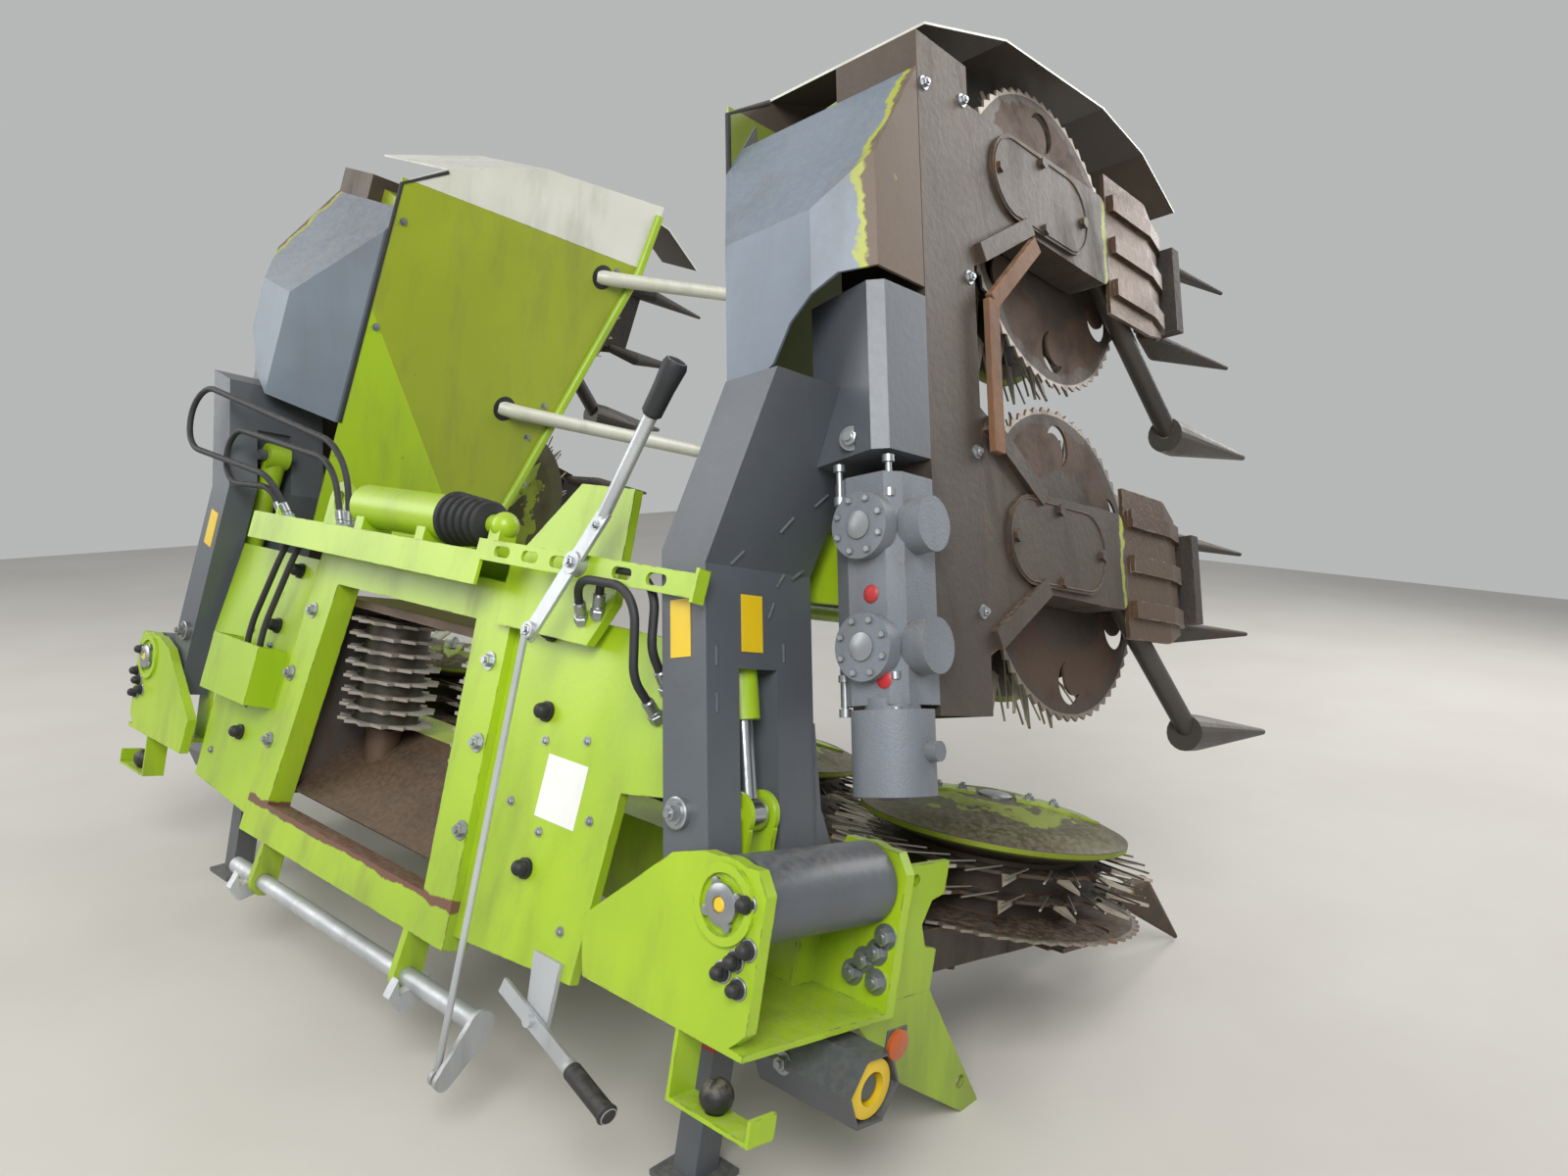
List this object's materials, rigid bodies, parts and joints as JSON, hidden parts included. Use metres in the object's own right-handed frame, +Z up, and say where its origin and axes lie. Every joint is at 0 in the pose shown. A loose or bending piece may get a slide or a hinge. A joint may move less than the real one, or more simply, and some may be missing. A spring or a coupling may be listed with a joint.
{
  "type": "folding rotary maize header of a forage harvester",
  "caption": "Row-independent rotary maize header with folding wings, toothed knife discs, tine rotors and a central feed opening, folded and parked.",
  "frame": {"origin": "on the floor, under the middle of the parked header", "axes": "+X to the right seen from the tractor side, +Y forward in the direction of travel, +Z up"},
  "size_m": [2.9736, 2.2763, 2.232],
  "materials": {
    "white_paint": "satin",
    "cream_paint": "satin",
    "rotor_steel": "worn satin",
    "lime_paint": "satin",
    "grey_hood": "satin",
    "wear_steel": "rusty",
    "crop_worn_paint": "worn",
    "galvanised": "satin",
    "cast_grey": "matt",
    "dark_paint": "satin"
  },
  "bodies": {
    "header": {"centre_beam": "crop_worn_paint", "hinge_brackets": "lime_paint", "mounting_frame": "lime_paint", "rear_panels": "lime_paint", "stand_lugs": "dark_paint", "top_rail": "lime_paint", "frame_damper": "lime_paint", "feed_housing": "crop_worn_paint", "stripper_combs": "cast_grey", "ball_catches": "lime_paint", "release_lever": "galvanised", "valve_box": "lime_paint", "centre_gear_arms": "crop_worn_paint", "centre_skids": "wear_steel", "centre_forks": "dark_paint", "centre_noses": "lime_paint", "centre_guides": "cream_paint", "front_stands": "lime_paint", "drive_inputs": "dark_paint"},
    "wing_right": {"wing_beam_right": "crop_worn_paint", "wing_carrier_right": "dark_paint", "wing_gearbox_right": "cast_grey", "wing_gear_arms_right": "crop_worn_paint", "wing_skids_right": "wear_steel", "wing_forks_right": "dark_paint", "wing_noses_right": "dark_paint", "wing_hood_right": "grey_hood", "wing_cover_right": "lime_paint", "wing_strip_right": "white_paint", "wing_guides_right": "cream_paint"},
    "rotor_centre_right": {"rotor_centre_right": "rotor_steel"},
    "rotor_mid_right": {"rotor_mid_right": "rotor_steel"},
    "rotor_wing_right": {"rotor_wing_right": "rotor_steel"},
    "rotor_tip_right": {"rotor_tip_right": "rotor_steel"},
    "intake_drum_right": {"intake_drum_right": "cast_grey"},
    "stand_right": {"stand_right": "dark_paint"},
    "fold_barrel_right": {"fold_barrel_right": "lime_paint"},
    "fold_rod_right": {"fold_rod_right": "galvanised"},
    "wing_left": {"wing_beam_left": "crop_worn_paint", "wing_carrier_left": "dark_paint", "wing_gearbox_left": "cast_grey", "wing_gear_arms_left": "crop_worn_paint", "wing_skids_left": "wear_steel", "wing_forks_left": "dark_paint", "wing_noses_left": "dark_paint", "wing_hood_left": "grey_hood", "wing_cover_left": "lime_paint", "wing_strip_left": "white_paint", "wing_guides_left": "cream_paint"},
    "rotor_centre_left": {"rotor_centre_left": "rotor_steel"},
    "rotor_mid_left": {"rotor_mid_left": "rotor_steel"},
    "rotor_wing_left": {"rotor_wing_left": "rotor_steel"},
    "rotor_tip_left": {"rotor_tip_left": "rotor_steel"},
    "intake_drum_left": {"intake_drum_left": "cast_grey"},
    "stand_left": {"stand_left": "dark_paint"},
    "fold_barrel_left": {"fold_barrel_left": "lime_paint"},
    "fold_rod_left": {"fold_rod_left": "galvanised"},
    "latch_lever": {"latch_lever": "galvanised"},
    "latch_rod": {"latch_rod": "galvanised"},
    "latch_shaft": {"latch_shaft": "galvanised"}
  },
  "joints": [
    {"name": "unfold_wing_right", "type": "hinge", "parent": "header", "child": "wing_right", "pos_m": [1.235, -0.70542, 0.60462], "axis": [0, 0.9816, -0.1908], "range_deg": [0, 103]},
    {"name": "spin_rotor_centre_right", "type": "hinge", "parent": "header", "child": "rotor_centre_right", "pos_m": [0.375, -0.02114, 0.45632], "axis": [0, 0.1908, 0.9816], "continuous": true},
    {"name": "spin_rotor_mid_right", "type": "hinge", "parent": "header", "child": "rotor_mid_right", "pos_m": [1.125, -0.02114, 0.45632], "axis": [0, 0.1908, 0.9816], "continuous": true},
    {"name": "spin_rotor_wing_right", "type": "hinge", "parent": "wing_right", "child": "rotor_wing_right", "pos_m": [1.10565, 0.10136, 1.0865], "axis": [-0.9744, -0.0429, -0.2208], "continuous": true},
    {"name": "spin_rotor_tip_right", "type": "hinge", "parent": "wing_right", "child": "rotor_tip_right", "pos_m": [0.93693, 0.2408, 1.80385], "axis": [-0.9744, -0.0429, -0.2208], "continuous": true},
    {"name": "spin_intake_drum_right", "type": "hinge", "parent": "header", "child": "intake_drum_right", "pos_m": [0.262, -0.72328, 0.64374], "axis": [0, 0.1908, 0.9816], "continuous": true},
    {"name": "swing_stand_right", "type": "hinge", "parent": "header", "child": "stand_right", "pos_m": [1.02, -0.76266, 0.31013], "axis": [1, 0, 0], "range_deg": [0, 90]},
    {"name": "tilt_fold_barrel_right", "type": "hinge", "parent": "wing_right", "child": "fold_barrel_right", "pos_m": [0.94517, -0.68024, 1.25819], "axis": [0, -0.9816, 0.1908], "range_deg": [-1.7, 0]},
    {"name": "slide_fold_rod_right", "type": "slide", "parent": "fold_barrel_right", "child": "fold_rod_right", "axis": [0.2913, -0.1825, -0.9391], "range_m": [0, 0.25472]},
    {"name": "unfold_wing_left", "type": "hinge", "parent": "header", "child": "wing_left", "pos_m": [-1.235, -0.70542, 0.60462], "axis": [0, -0.9816, 0.1908], "range_deg": [0, 103]},
    {"name": "spin_rotor_centre_left", "type": "hinge", "parent": "header", "child": "rotor_centre_left", "pos_m": [-0.375, -0.02114, 0.45632], "axis": [0, 0.1908, 0.9816], "continuous": true},
    {"name": "spin_rotor_mid_left", "type": "hinge", "parent": "header", "child": "rotor_mid_left", "pos_m": [-1.125, -0.02114, 0.45632], "axis": [0, 0.1908, 0.9816], "continuous": true},
    {"name": "spin_rotor_wing_left", "type": "hinge", "parent": "wing_left", "child": "rotor_wing_left", "pos_m": [-1.10565, 0.10136, 1.0865], "axis": [0.9744, -0.0429, -0.2208], "continuous": true},
    {"name": "spin_rotor_tip_left", "type": "hinge", "parent": "wing_left", "child": "rotor_tip_left", "pos_m": [-0.93693, 0.2408, 1.80385], "axis": [0.9744, -0.0429, -0.2208], "continuous": true},
    {"name": "spin_intake_drum_left", "type": "hinge", "parent": "header", "child": "intake_drum_left", "pos_m": [-0.262, -0.72328, 0.64374], "axis": [0, 0.1908, 0.9816], "continuous": true},
    {"name": "swing_stand_left", "type": "hinge", "parent": "header", "child": "stand_left", "pos_m": [-1.02, -0.76266, 0.31013], "axis": [1, 0, 0], "range_deg": [0, 90]},
    {"name": "tilt_fold_barrel_left", "type": "hinge", "parent": "wing_left", "child": "fold_barrel_left", "pos_m": [-0.94517, -0.68024, 1.25819], "axis": [0, 0.9816, -0.1908], "range_deg": [-1.7, 0]},
    {"name": "slide_fold_rod_left", "type": "slide", "parent": "fold_barrel_left", "child": "fold_rod_left", "axis": [-0.2913, -0.1825, -0.9391], "range_m": [0, 0.25472]},
    {"name": "swing_latch_lever", "type": "hinge", "parent": "header", "child": "latch_lever", "pos_m": [0.728, -0.85768, 1.13718], "axis": [0, 0.9511, -0.309], "range_deg": [0, 40]},
    {"name": "swing_latch_rod", "type": "hinge", "parent": "latch_lever", "child": "latch_rod", "pos_m": [0.65241, -0.92158, 1.00847], "axis": [0, -0.9511, 0.309], "range_deg": [0, 44.81]},
    {"name": "turn_latch_shaft", "type": "hinge", "parent": "header", "child": "latch_shaft", "pos_m": [0, -1.03234, 0.23395], "axis": [-1, 0, 0], "range_deg": [0, 49.55]}
  ],
  "couplings": [
    {"joint": "tilt_fold_barrel_right", "follows": "unfold_wing_right", "ratio": -0.016495},
    {"joint": "slide_fold_rod_right", "follows": "unfold_wing_right", "m_per_rad": 0.14168},
    {"joint": "tilt_fold_barrel_left", "follows": "unfold_wing_left", "ratio": -0.016495},
    {"joint": "slide_fold_rod_left", "follows": "unfold_wing_left", "m_per_rad": 0.14168},
    {"joint": "swing_latch_rod", "follows": "swing_latch_lever", "ratio": 1.1202},
    {"joint": "turn_latch_shaft", "follows": "swing_latch_lever", "ratio": 1.2387}
  ]
}
